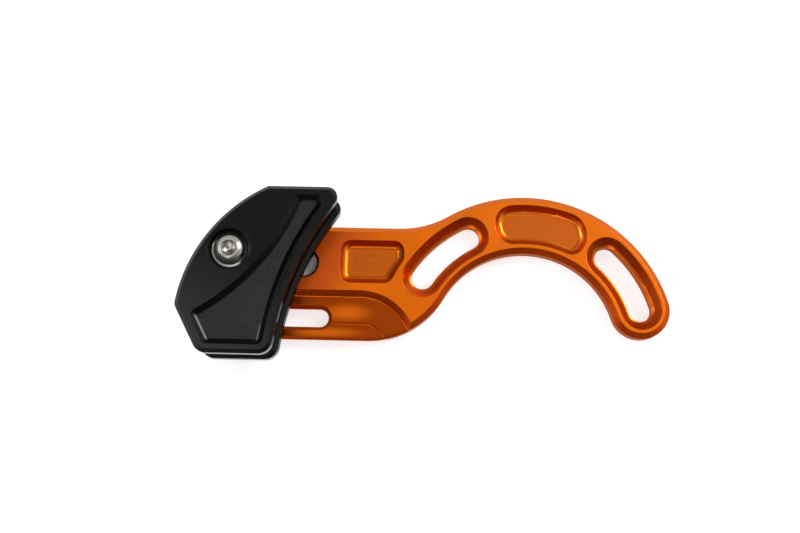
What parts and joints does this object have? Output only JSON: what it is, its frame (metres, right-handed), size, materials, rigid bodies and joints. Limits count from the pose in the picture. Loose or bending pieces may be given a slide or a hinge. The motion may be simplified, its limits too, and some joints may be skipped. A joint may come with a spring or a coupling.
{
  "type": "bicycle chain guide",
  "caption": "Bicycle chain guide: a milled hook-shaped backplate with curved mounting slots carries a black two-plate chain cage that slides along adjusting slots.",
  "frame": {"origin": "on the bottom bracket's axis, in the plane of the frame's mounting tabs, where the backplate's pad bears", "axes": "+X runs along the adjusting slots, from the cage towards the hook's free end; +Y points to the hook's crown; +Z points outward from the bicycle, towards the chainring's outer side"},
  "size_m": [0.1304, 0.0468, 0.0239],
  "materials": {
    "orange_anodised": "satin orange anodising",
    "black_plastic": "machined black acetal",
    "stainless": "turned stainless steel"
  },
  "bodies": {
    "plate": {"backplate": "orange_anodised"},
    "cage": {"inner_guide_plate": "black_plastic", "outer_guide_plate": "black_plastic", "guide_bolt": "stainless", "slot_nut": "stainless", "slide_screw": "stainless", "slide_washer": "stainless"}
  },
  "joints": [
    {"name": "cage_slide", "type": "slide", "parent": "plate", "child": "cage", "axis": [1, 0, 0], "range_m": [0, 0.0172]}
  ]
}
